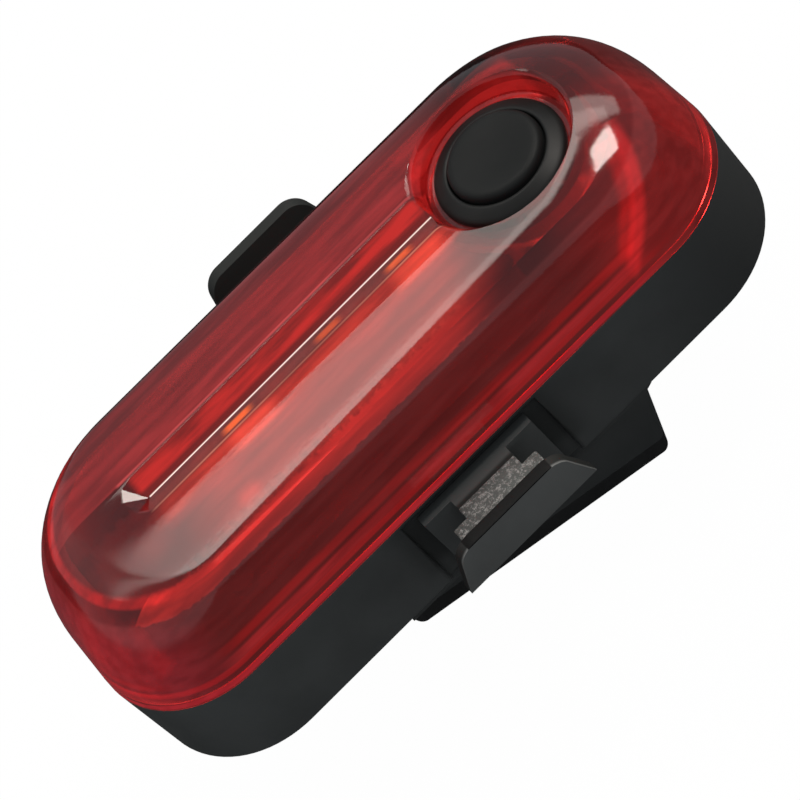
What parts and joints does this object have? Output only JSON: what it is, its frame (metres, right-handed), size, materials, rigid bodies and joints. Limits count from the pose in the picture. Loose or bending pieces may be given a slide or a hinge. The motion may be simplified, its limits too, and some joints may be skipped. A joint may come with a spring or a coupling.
{
  "type": "bike tail light",
  "caption": "Slim red bike tail light with rounded ends, a top push button, and a saddle bracket with flared latch arms.",
  "frame": {"origin": "on the seat-post saddle, at the middle of its bearing line", "axes": "+X along the light towards the button, +Y to the left arm, +Z out of the lens"},
  "size_m": [0.076, 0.0478, 0.0392],
  "materials": {
    "case_plastic": "fine-grained satin",
    "red_lens": "clear red, polished",
    "seal_rubber": "matte",
    "board_green": "solder mask",
    "screw_steel": "plated",
    "chip_black": "moulded",
    "led_red": "clear resin",
    "tray_white": "white moulded",
    "haze_plastic": "translucent",
    "switch_plastic": "moulded",
    "plunger_white": "moulded",
    "ring_rubber": "fine matte",
    "cap_rubber": "fine matte",
    "foam_grey": "foam",
    "cell_foil": "foil pouch",
    "nickel": "nickel plated",
    "cover_rubber": "matte",
    "foot_plastic": "matte",
    "arm_plastic": "satin",
    "grip_rubber": "grained"
  },
  "bodies": {
    "light": {"rear_case": "case_plastic", "lens": "red_lens", "seal_ring": "seal_rubber", "led_board": "board_green", "board_screws": "screw_steel", "board_parts": "chip_black", "leds": "led_red", "reflector": "tray_white", "diffuser": "haze_plastic", "switch_body": "switch_plastic", "button_ring": "ring_rubber", "battery_pad": "foam_grey", "battery": "cell_foil", "battery_tabs": "nickel", "charger_board": "board_green", "usb_shell": "nickel", "usb_tongue": "switch_plastic", "link_pins": "nickel", "bracket_foot": "foot_plastic", "saddle_pad": "seal_rubber"},
    "button": {"button_cap": "cap_rubber"},
    "plunger": {"switch_plunger": "plunger_white"},
    "cover": {"port_cover": "cover_rubber"},
    "right_latch": {"right_arm": "arm_plastic", "right_arm_grip": "grip_rubber"},
    "left_latch": {"left_arm": "arm_plastic", "left_arm_grip": "grip_rubber"}
  },
  "joints": [
    {"name": "button_press", "type": "slide", "parent": "light", "child": "button", "axis": [0, 0, -1], "range_m": [0, 0.0005], "stiffness_N_per_m": 800},
    {"name": "plunger_press", "type": "slide", "parent": "light", "child": "plunger", "axis": [0, 0, -1], "range_m": [0, 0.0005]},
    {"name": "port_cover_hinge", "type": "hinge", "parent": "light", "child": "cover", "pos_m": [-0.03725, 0, 0.0127], "axis": [0, -1, 0], "range_deg": [0, 90]},
    {"name": "right_arm_flex", "type": "hinge", "parent": "light", "child": "right_latch", "pos_m": [0, -0.0129, 0.0092], "axis": [1, 0, 0], "range_deg": [0, 6], "stiffness_Nm_per_rad": 0.6},
    {"name": "left_arm_flex", "type": "hinge", "parent": "light", "child": "left_latch", "pos_m": [0, 0.0129, 0.0092], "axis": [-1, 0, 0], "range_deg": [0, 6], "stiffness_Nm_per_rad": 0.6}
  ],
  "couplings": [
    {"joint": "plunger_press", "follows": "button_press", "ratio": 1}
  ]
}
